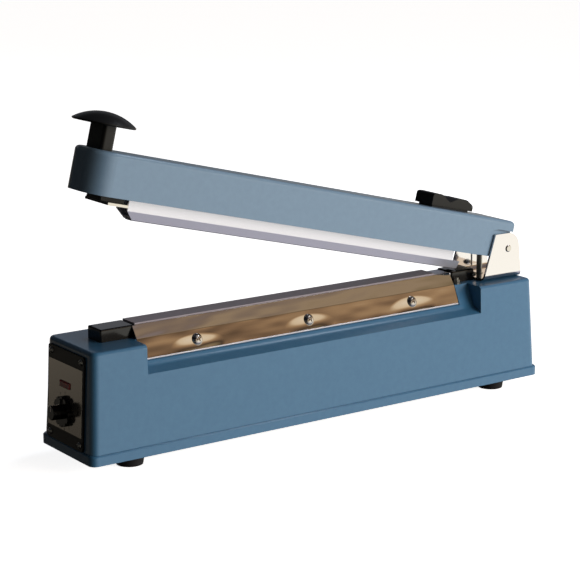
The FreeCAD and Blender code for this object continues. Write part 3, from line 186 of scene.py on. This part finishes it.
def makeRoom(room):  # bright where the light comes from, dim behind the sealer and at the panel's end
    world = bpy.data.worlds.new("softRoom")
    world.use_nodes = True
    tree = world.node_tree
    direction = addNode(tree, "TexCoord").outputs["Generated"]
    split = addNode(tree, "SeparateXYZ", {"Vector": direction})
    height = addNode(tree, "MapRange", {"Value": split.outputs["Z"], "From Min": -1.0}).outputs["Result"]
    ramps = []
    for stops in (room["behind"], room["lit"]):
        ramp = addNode(tree, "ValToRGB", {"Fac": height})
        while len(ramp.color_ramp.elements) < len(stops):
            ramp.color_ramp.elements.new(0.5)
        for element, (rise, code) in zip(ramp.color_ramp.elements, stops):
            element.position = (rise + 1) / 2
            element.color = linearColor(code)
        ramps.append(ramp.outputs["Color"])
    turn = addNode(tree, "VectorMath", {0: direction, 1: room["toLight"]}, operation="DOT_PRODUCT")
    facing = addNode(tree, "MapRange", {
        "Value": turn.outputs["Value"], "From Min": room["turnFrom"], "From Max": room["turnTo"]},
        interpolation_type="SMOOTHSTEP")
    mix = addNode(tree, "Mix", {"Factor": facing.outputs["Result"]}, data_type="RGBA")
    tree.links.new(ramps[0], mix.inputs["A"])
    tree.links.new(ramps[1], mix.inputs["B"])
    dim = addNode(tree, "MapRange", {
        "Value": split.outputs["X"], "From Min": room["dimFrom"], "From Max": room["dimTo"],
        "To Min": room["panelEnd"] * room["strength"], "To Max": room["strength"]})
    background = tree.nodes["Background"]
    tree.links.new(mix.outputs["Result"], background.inputs["Color"])
    tree.links.new(dim.outputs["Result"], background.inputs["Strength"])
    bpy.context.scene.world = world


makeStudio(studio)
bpy.context.scene.view_settings.view_transform = "Standard"
print("studio lit")

# Stoving enamel in satin blue: the eye gets a calm, even blue with a faint mottle and a fine orange peel
enamel = {
    "base": {"deep": "#37678c", "light": "#3d6e92"},
    # the arm's tones are a lighter copy of the base's blue: painted light for the brighter sheen the arm catches
    "arm": {"deep": "#6d88a2", "light": "#728ea8"},
    "look": {"Roughness": 0.38, "Coat Weight": 0.5, "Coat Roughness": 0.14, "IOR": 1.5},
    "peel": 1.6, "mottle": 5.0, "low": 0.25, "high": 0.75, "relief": 0.013, "edge": 0.5,
}


def makeEnamel(name, tones):
    made, tree, shader, place = newMaterial(name, enamel["look"])
    mottle = addNode(tree, "TexNoise", {
        "Vector": place, "Scale": 1 / (enamel["mottle"] * mm), "Detail": 4.0, "Roughness": 0.6})
    spread = addNode(tree, "MapRange", {
        "Value": mottle.outputs["Fac"], "From Min": enamel["low"], "From Max": enamel["high"]})
    peel = addNode(tree, "TexVoronoi", {
        "Vector": place, "Scale": 1 / (enamel["peel"] * mm), "Randomness": 1.0}, feature="SMOOTH_F1")
    color = twoTone(tree, spread.outputs["Result"], tones["deep"], tones["light"])
    finish(tree, shader, color, peel.outputs["Distance"], enamel["relief"], enamel["edge"] * mm)
    return made


# Polished stainless sheet: mirror-like, with faint rolling lines, and drawn in round each clamp screw
polished = {
    "lines": 0.6, "stretch": 4.0, "lineDepth": 0.004, "roughness": 0.07, "edge": 0.3,
    "ripple": 0.7, "rippleScale": (22.0, 70.0, 70.0),
    "dentAt": (-118.2, -10.2, 97.8), "dentY": 20.7, "dentZ": 83.5,
    "dentLength": 26.0, "dentHeight": 6.5, "dentShare": 0.7, "dentFlat": 0.15, "dentDepth": 0.9,
}


def makePolished(name, tint, dented=0):  # dented is the side in y that the dents lie on, or 0 for none
    made, tree, shader, place = newMaterial(name, {"Metallic": 1.0, "Roughness": polished["roughness"]})
    shader.inputs["Base Color"].default_value = linearColor(tint)
    fine = 1 / (polished["lines"] * mm)
    stretch = addNode(tree, "Mapping", {"Vector": place, "Scale": (polished["stretch"], fine, fine)})
    lines = addNode(tree, "TexNoise", {"Vector": stretch.outputs["Vector"], "Scale": 1.0, "Detail": 2.0})
    height = arithmetic(tree, "MULTIPLY", lines.outputs["Fac"], polished["lineDepth"])
    if dented:
        height = addDents(tree, place, height, dented)
    finish(tree, shader, None, height, 1.0, polished["edge"] * mm)
    return made


def addDents(tree, place, height, side):
    drawn = addNode(tree, "Mapping", {"Vector": place, "Scale": polished["rippleScale"]})
    wave = addNode(tree, "TexNoise", {"Vector": drawn.outputs["Vector"], "Scale": 1.0, "Detail": 1.0})
    long = 1 / (polished["dentLength"] * mm)
    tall = polished["dentShare"] / (polished["dentHeight"] * mm)
    for x in polished["dentAt"]:
        centre = (x * mm, side * polished["dentY"] * mm, polished["dentZ"] * mm)
        away = addNode(tree, "VectorMath", {0: place, 1: centre}, operation="SUBTRACT")
        scaled = addNode(tree, "VectorMath", {0: away.outputs["Vector"], 1: (long, tall, tall)},
                         operation="MULTIPLY")
        reach = addNode(tree, "VectorMath", {0: scaled.outputs["Vector"]}, operation="LENGTH")
        dish = addNode(tree, "MapRange", {
            "Value": reach.outputs["Value"], "From Min": polished["dentFlat"], "From Max": 1.0},
            interpolation_type="SMOOTHSTEP")
        deep = arithmetic(tree, "MULTIPLY", dish.outputs["Result"], polished["dentDepth"])
        height = arithmetic(tree, "ADD", height, deep)
    ripple = arithmetic(tree, "MULTIPLY", wave.outputs["Fac"], polished["ripple"])
    return arithmetic(tree, "ADD", height, ripple)


def makePlain(name, code, look, grain=None, relief=0.01, spread=None, edge=0.3):
    made, tree, shader, place = newMaterial(name, look)
    shader.inputs["Base Color"].default_value = linearColor(code)
    height = None
    color = None
    if grain:
        noise = addNode(tree, "TexNoise", {"Vector": place, "Scale": 1 / (grain * mm), "Detail": 3.0})
        height = noise.outputs["Fac"]
        if spread:
            color = twoTone(tree, height, code, spread)
    finish(tree, shader, color, height, relief, edge * mm)
    return made


finishes = {
    "painted_blue": makeEnamel("hammertoneEnamel", enamel["base"]),
    "polished_steel": makePolished("polishedStainless", "#cfcac4"),
    "zinc_steel": makePlain("zincPlatedSteel", "#b9bab6", {"Metallic": 1.0, "Roughness": 0.32},
        0.8, 0.004, "#a5a7a2"),
    "raw_aluminium": makePlain("satinAnodisedAluminium", "#f0f1fb", {"Metallic": 0.75, "Roughness": 0.33},
        0.5, 0.003, "#e4e6f2"),
    "black_plastic": makePlain("glossyBlackAbs", "#060607", {"Roughness": 0.16, "IOR": 1.5}, 1.5, 0.002),
    "satin_black": makePlain("satinBlackPhenolic", "#080809", {"Roughness": 0.38, "IOR": 1.45},
        0.5, 0.01, "#0f0e0d"),
    "black_panel": makePlain("blackStovedPlate", "#060606", {"Roughness": 0.35, "IOR": 1.5, "Specular IOR Level": 0.15},
        0.7, 0.006),
    "label_grey": makePlain("printedFoilLabel", "#aaa49c", {"Metallic": 0.85, "Roughness": 0.14},
        0.4, 0.002, "#b2aca4"),
    "red_lens": makePlain("redAcrylicLens", "#b0141a", {"Roughness": 0.12, "IOR": 1.49, "Transmission Weight": 0.4},
        1.0, 0.002),
    "rubber_black": makePlain("mouldedRubber", "#0e0e10", {"Roughness": 0.7}, 0.6, 0.02, "#17171a"),
    "silicone": makePlain("greySilicone", "#8f8f9c", {"Roughness": 0.55}, 0.8, 0.005, "#9a9aa6"),
    "ptfe": makePlain("coatedGlassCloth", "#8d8790", {"Roughness": 0.4}, 0.6, 0.02, "#a29ca6"),
    "nichrome": makePlain("resistanceRibbon", "#8c8580", {"Metallic": 1.0, "Roughness": 0.35}, 0.5, 0.002),
    "brass": makePlain("turnedBrass", "#c8a45a", {"Metallic": 1.0, "Roughness": 0.28}, 0.5, 0.002),
    "laminated_steel": makePlain("siliconSteelLaminations", "#5c5e60", {"Metallic": 0.9, "Roughness": 0.45},
        0.5, 0.01, "#494b4d"),
    "winding": makePlain("yellowInsulatingTape", "#c2a13a", {"Roughness": 0.45}, 3.0, 0.02, "#b08f2e"),
    "board_green": makePlain("glassEpoxyBoard", "#14492a", {"Roughness": 0.3}, 1.5, 0.01, "#1b5a34"),
    "spring_steel": makePlain("springWire", "#8f9094", {"Metallic": 1.0, "Roughness": 0.3}, 0.4, 0.002),
    "blade_steel": makePlain("groundBladeSteel", "#c6c8cc", {"Metallic": 1.0, "Roughness": 0.2}, 0.3, 0.002),
    "phenolic": makePlain("brownPhenolicMoulding", "#2c1a10", {"Roughness": 0.4}, 0.5, 0.01, "#3a2316"),
}


ownFinish = {
    # painted light: the arm gets a lighter copy of the base enamel for the brighter sheen it catches
    "arm_casting": makeEnamel("armEnamelPaintedLight", enamel["arm"]),
    "near_clamp_plate": makePolished("dentedStainlessNear", "#cfcac4", -1),
    "far_clamp_plate": makePolished("dentedStainlessFar", "#cfcac4", 1),
    # painted reflection: the bracket is the plates' stainless with a paler tint, so its ear mirrors a brighter
    # cream-white
    "hinge_bracket": makePolished("stainlessPaintedBright", "#e0dddf"),
    "cutter_carriage": makePlain("blackenedSteel", "#4a4b4e", {"Metallic": 1.0, "Roughness": 0.4},
        0.6, 0.004, "#3c3d40"),
}


def dressNodes():
    slots = {part["node"]: part["material_slot"] for part in frame["record"]["subparts"]}
    for name, thing in nodes.items():
        thing.data.materials.clear()
        thing.data.materials.append(ownFinish.get(name) or finishes[slots[name]])


dressNodes()
print("finishes given")

# The arm's own frame: along from the pin, across, and above the pin, in mm with the arm shut
arm = {"pin": (203.3, 0.0, 121.5), "openAngle": 13.8, "top": 24.0}
panel = {"foot": (-222.576, 2.4, 53.0), "tilt": 2.8296, "face": 1.8, "dialDrop": 11.0}


def armMatrix():  # turned half round, since the arm runs from the pin towards the front
    turn = Matrix.Rotation(math.radians(arm["openAngle"]), 4, "Y")
    facing = Matrix.Rotation(math.pi, 4, "Z") @ Matrix.Scale(-1, 4, (0, 1, 0))
    return Matrix.Scale(mm, 4) @ Matrix.Translation(arm["pin"]) @ turn @ facing


def panelMatrix():  # x to the viewer's right, y up the panel, z out of it, in mm from its middle
    lean = Matrix.Rotation(math.radians(panel["tilt"]), 4, "Y")
    facing = Matrix(((0, 0, -1, 0), (-1, 0, 0, 0), (0, 1, 0, 0), (0, 0, 0, 1)))
    return Matrix.Scale(mm, 4) @ Matrix.Translation(panel["foot"]) @ lean @ facing


def newPiece(name, shape, material, place=None, smooth=0.6):
    if place is not None:
        bmesh.ops.transform(shape, matrix=place, verts=shape.verts)
    bmesh.ops.recalc_face_normals(shape, faces=shape.faces)
    mesh = bpy.data.meshes.new(name)
    shape.to_mesh(mesh)
    shape.free()
    mesh.materials.append(material)
    for face in mesh.polygons:
        face.use_smooth = True
    mesh.set_sharp_from_angle(angle=smooth)
    piece = bpy.data.objects.new(name, mesh)
    bpy.context.scene.collection.objects.link(piece)
    return piece

def addBlock(shape, place, size, middle=(0, 0, 0)):
    made = bmesh.ops.create_cube(shape, size=1.0)["verts"]
    sized = Matrix.Translation(middle) @ Matrix.Diagonal((*size, 1.0))
    bmesh.ops.transform(shape, matrix=place @ sized, verts=made)


def addRod(shape, place, radius, length, segments):
    made = bmesh.ops.create_cone(shape, cap_ends=True, segments=segments, radius1=radius, radius2=radius,
                                 depth=length)["verts"]
    bmesh.ops.transform(shape, matrix=place, verts=made)


# Screws with a cross recess sunk into each domed head; the clamp screws lean with their plate
crosses = {
    "width": 0.9, "length": 4.2, "depth": 1.1, "turn": 0.4, "weld": 0.002, "smooth": 0.5,
    "clampSeat": (20.656, 88.008), "clampLean": (0.9059, 0.4235), "clampHead": 2.8,
    "bracketAt": (182.7, 212.1), "bracketTop": 99.4,
    "panelAcross": (-23.1, 23.1), "panelUp": (-32.5, 32.5), "panelTop": 3.1,
}


def screwHeads():  # each node's heads, as the middle of the top and the axis
    (seatY, seatZ), (leanY, leanZ) = crosses["clampSeat"], crosses["clampLean"]
    y, z = seatY + crosses["clampHead"] * leanY, seatZ + crosses["clampHead"] * leanZ
    out = panelMatrix().to_3x3() @ Vector((0, 0, 1 / mm))
    return {
        "clamp_screws": [((x, side * y, z), (0, side * leanY, leanZ))
                         for x in polished["dentAt"] for side in (-1, 1)],
        "bracket_screws": [((x, 0, crosses["bracketTop"]), (0, 0, 1)) for x in crosses["bracketAt"]],
        "panel_screws": [(panelMatrix() @ Vector((x, y, crosses["panelTop"])) / mm, out)
                         for x in crosses["panelAcross"] for y in crosses["panelUp"]],
    }


def carve(piece, tool, material):  # takes the tool's shape out of the piece
    cutter = newPiece(piece.name + "Recess", tool, material)
    sink = piece.modifiers.new("recess", "BOOLEAN")
    sink.object = cutter
    sink.operation = "DIFFERENCE"
    sink.solver = "EXACT"
    sink.use_self = True
    bpy.context.view_layer.update()
    done = bpy.data.meshes.new_from_object(piece.evaluated_get(bpy.context.evaluated_depsgraph_get()))
    piece.modifiers.clear()
    piece.data = done
    done.name = piece.name
    bpy.data.objects.remove(cutter)


def sinkCrosses(node, heads, material):
    shape = bmesh.new()
    shape.from_mesh(nodes[node].data)
    bmesh.ops.remove_doubles(shape, verts=shape.verts, dist=crosses["weld"] * mm)
    screws = newPiece(node + "Crossed", shape, material, smooth=crosses["smooth"])
    tool = bmesh.new()
    size = (crosses["length"], crosses["width"], 2 * crosses["depth"])
    for place, axis in heads:
        upright = Vector(axis).to_track_quat("Z", "X").to_matrix().to_4x4()
        seat = Matrix.Scale(mm, 4) @ Matrix.Translation(place) @ upright
        for turn in (crosses["turn"], crosses["turn"] + math.pi / 2):
            addBlock(tool, seat @ Matrix.Rotation(turn, 4, "Z"), size)
    carve(screws, tool, material)
    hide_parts(node)
    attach(screws, "base")


for node, heads in screwHeads().items():
    sinkCrosses(node, heads, nodes[node].data.materials[0])
print("screws sunk")

# Thumb knob of the cutter: a tall lobe towards the handle, a hollow, and a lower round one
knob = {
    "at": 61.5, "length": 46.5, "width": 23.0, "side": 2.0,
    "profile": [(0.0, 1.6), (0.0, 11.2), (0.08, 12.0), (0.22, 12.0), (0.42, 5.8), (0.62, 10.6), (0.82, 10.9),
                (1.0, 6.6), (1.0, 1.6)],
    "round": 3.0, "roundAbove": 5.0, "edge": 0.9, "sharpTurn": 1.2,
    "pocket": ((39.5, -8.5, 20.0), (83.5, 12.5, 27.0)),
}


def makeKnob():
    shape = bmesh.new()
    front = knob["at"] + knob["length"] / 2
    y = knob["side"] - knob["width"] / 2
    corners = [shape.verts.new((front - knob["length"] * share, y, arm["top"] + height))
               for share, height in knob["profile"]]
    shape.faces.new(corners)
    upper = [vert for vert in shape.verts if vert.co.z > arm["top"] + knob["roundAbove"]]
    bmesh.ops.bevel(shape, geom=upper, offset=knob["round"], affect="VERTICES", segments=5, profile=0.5,
                    material=-1, clamp_overlap=True)
    pulled = bmesh.ops.extrude_face_region(shape, geom=list(shape.faces))["geom"]
    far = [item for item in pulled if isinstance(item, bmesh.types.BMVert)]
    bmesh.ops.translate(shape, vec=(0, knob["width"], 0), verts=far)
    bmesh.ops.recalc_face_normals(shape, faces=shape.faces)
    rims = [edge for edge in shape.edges
            if edge.calc_face_angle(0) > knob["sharpTurn"] and edge.verts[0].co.y == edge.verts[1].co.y]
    bmesh.ops.bevel(shape, geom=rims, offset=knob["edge"], affect="EDGES", segments=3, profile=0.5,
                    material=-1, clamp_overlap=True)
    made = newPiece("thumbKnob", shape, finishes["satin_black"], armMatrix())
    low, high = (Vector(corner) for corner in knob["pocket"])
    tool = bmesh.new()
    addBlock(tool, armMatrix(), high - low, (low + high) / 2)
    carve(made, tool, finishes["satin_black"])  # room for the carriage's foot when the knob is pressed
    even = made.modifiers.new("evenNormals", "WEIGHTED_NORMAL")
    even.keep_sharp = True
    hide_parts("cutter_knob")
    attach(made, "cutter")


makeKnob()
print("knob shaped")

# Springs wound from round wire in place of the plain sleeves; keep is the share left when fully pressed
springs = {
    "return": {"radius": 6.6, "wire": 0.8, "turns": 8, "length": 17.6, "legShare": 0.88, "drop": 24.5,
               "tip": (28.0, 19.9)},
    "bar": {"radius": 3.1, "wire": 0.45, "turns": 9, "low": -21.4, "high": 4.9, "at": (64.0, 370.0),
            "keep": 0.6},
    "knob": {"radius": 2.2, "wire": 0.2, "turns": 2, "low": 25.75, "high": 26.75, "at": (53.5, 69.5),
             "keep": 0.02},
    "wireSegments": 10, "legSegments": 12, "stepsPerTurn": 20,
}


def coil(shape, radius, wire, turns, length):  # wound about Z, starting at the origin's level
    ring = bmesh.ops.create_circle(shape, segments=springs["wireSegments"], radius=wire)["verts"]
    upright = Matrix.Translation((radius, 0, 0)) @ Matrix.Rotation(math.pi / 2, 4, "X")
    bmesh.ops.transform(shape, matrix=upright, verts=ring)
    edges = list({edge for vert in ring for edge in vert.link_edges})
    steps = springs["stepsPerTurn"] * turns
    bmesh.ops.spin(shape, geom=ring + edges, cent=(0, 0, 0), axis=(0, 0, 1), dvec=(0, 0, length / steps),
                   angle=2 * math.pi * turns, steps=steps, use_merge=False, use_duplicate=False)
    bmesh.ops.holes_fill(shape, edges=[edge for edge in shape.edges if edge.is_boundary], sides=0)


def makeReturnSpring():
    size = springs["return"]
    half, leg = size["length"] / 2, size["wire"] * size["legShare"]
    shape = bmesh.new()
    coil(shape, size["radius"], size["wire"], size["turns"], size["length"])
    across = Matrix.Rotation(-math.pi / 2, 4, "X") @ Matrix.Translation((0, 0, -half))
    bmesh.ops.transform(shape, matrix=Matrix.Translation(arm["pin"]) @ across, verts=shape.verts)
    middle = Vector(arm["pin"]) + Vector((size["radius"], half, -size["drop"] / 2))
    addRod(shape, Matrix.Translation(middle), leg, size["drop"], springs["legSegments"])
    wound = newPiece("returnCoil", shape, finishes["spring_steel"], Matrix.Scale(mm, 4))
    shape = bmesh.new()
    along, above = size["tip"]
    start, tip = Vector((0, -half, size["radius"])), Vector((along, -half, above))
    lean = (tip - start).to_track_quat("Z", "Y").to_matrix().to_4x4()
    addRod(shape, Matrix.Translation((start + tip) / 2) @ lean, leg, (tip - start).length,
           springs["legSegments"])
    upper = newPiece("returnLeg", shape, finishes["spring_steel"], armMatrix())
    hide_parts("return_spring")
    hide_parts("return_spring")
    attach(wound, "base")
    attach(upper, "arm")


def makeStraightSprings(name, node, body, size):  # coils set in the arm's frame and carried whole by the one body
    shape = bmesh.new()
    for along in size["at"]:
        before = set(shape.verts)
        coil(shape, size["radius"], size["wire"], size["turns"], size["high"] - size["low"])
        fresh = [vert for vert in shape.verts if vert not in before]
        bmesh.ops.translate(shape, vec=(along, 0, size["low"]), verts=fresh)
    wound = newPiece(name, shape, finishes["spring_steel"], armMatrix())
    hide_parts(node)
    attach(wound, body)
    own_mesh(wound)


makeReturnSpring()
makeStraightSprings("barCoils", "bar_springs", "arm", springs["bar"])
makeStraightSprings("knobCoils", "cutter_springs", "carriage", springs["knob"])
print("springs wound")

# A round hem along the lower edge of each clamp plate, in pale aluminium rather than the plate's steel: a painted
# highlight for the thin bright line above the sill
hem = {"radius": 0.75, "inset": 0.4, "segments": 16}


def makeHems():
    for name, side in (("near_clamp_plate", -1), ("far_clamp_plate", 1)):
        corners = [Vector(corner) / mm for corner in nodes[name].bound_box]
        start = min(corner.x for corner in corners) + hem["inset"]
        end = max(corner.x for corner in corners) - hem["inset"]
        out = max(side * corner.y for corner in corners) - hem["radius"]
        low = min(corner.z for corner in corners) + hem["radius"]
        shape = bmesh.new()
        middle = Matrix.Translation(((start + end) / 2, side * out, low))
        addRod(shape, middle @ Matrix.Rotation(math.pi / 2, 4, "Y"), hem["radius"], end - start,
               hem["segments"])
        # the pale aluminium finish here is the painted highlight along the plate's lower edge
        made = newPiece(name + "HemPaintedHighlight", shape, finishes["raw_aluminium"], Matrix.Scale(mm, 4))
        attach(made, "base")


makeHems()
print("hems folded")

# Printed scale round the dial, and a pale stripe along the top and the side of its grip as a painted highlight
scale = {
    "numbers": 11, "first": -60.0, "step": 30.0, "radius": 14.3, "height": 2.3, "letterShare": 1.35,
    # line is the colour of the painted highlight stripe on the grip
    "thickness": 0.02, "lift": 0.03, "ink": "#100e0c", "line": "#e8e6e0", "look": {"Roughness": 0.5},
    "lines": [((-0.5, 0.6, 14.02), (0.5, 5.1, 14.2)), ((-0.5, 5.7, 5.6), (0.5, 5.9, 13.2))],
}


def flatText(words, height, place):
    curve = bpy.data.curves.new("digits", "FONT")
    curve.body = words
    curve.size = height * scale["letterShare"]
    curve.align_x = "CENTER"
    curve.align_y = "CENTER"
    curve.extrude = scale["thickness"]
    curve.resolution_u = 3
    text = bpy.data.objects.new("digits", curve)
    bpy.context.scene.collection.objects.link(text)
    bpy.context.view_layer.update()
    mesh = bpy.data.meshes.new_from_object(text.evaluated_get(bpy.context.evaluated_depsgraph_get()))
    mesh.transform(Matrix.Translation(place))
    bpy.data.objects.remove(text)
    return mesh


def makeScale():
    ink = makePlain("blackScreenInk", scale["ink"], scale["look"], 0.4, 0.001)
    paint = makePlain("gripHighlightPaint", scale["line"], scale["look"], 0.4, 0.001)
    down = Vector((0, -panel["dialDrop"], 0))
    shape = bmesh.new()
    for number in range(scale["numbers"]):
        turn = math.radians(scale["first"] + scale["step"] * number)
        spot = Vector((scale["radius"] * math.sin(turn), scale["radius"] * math.cos(turn),
                       panel["face"] + scale["lift"]))
        shape.from_mesh(flatText(str(number), scale["height"], spot + down))
    printed = newPiece("dialNumbers", shape, ink, panelMatrix())
    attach(printed, "base")
    shape = bmesh.new()
    for low, high in scale["lines"]:
        addBlock(shape, Matrix.Identity(4), Vector(high) - Vector(low), (Vector(low) + Vector(high)) / 2 + down)
    # the pale stripes on the grip are a painted highlight
    line = newPiece("dialGripHighlight", shape, paint, panelMatrix())
    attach(line, "dial")


makeScale()
print("scale printed")
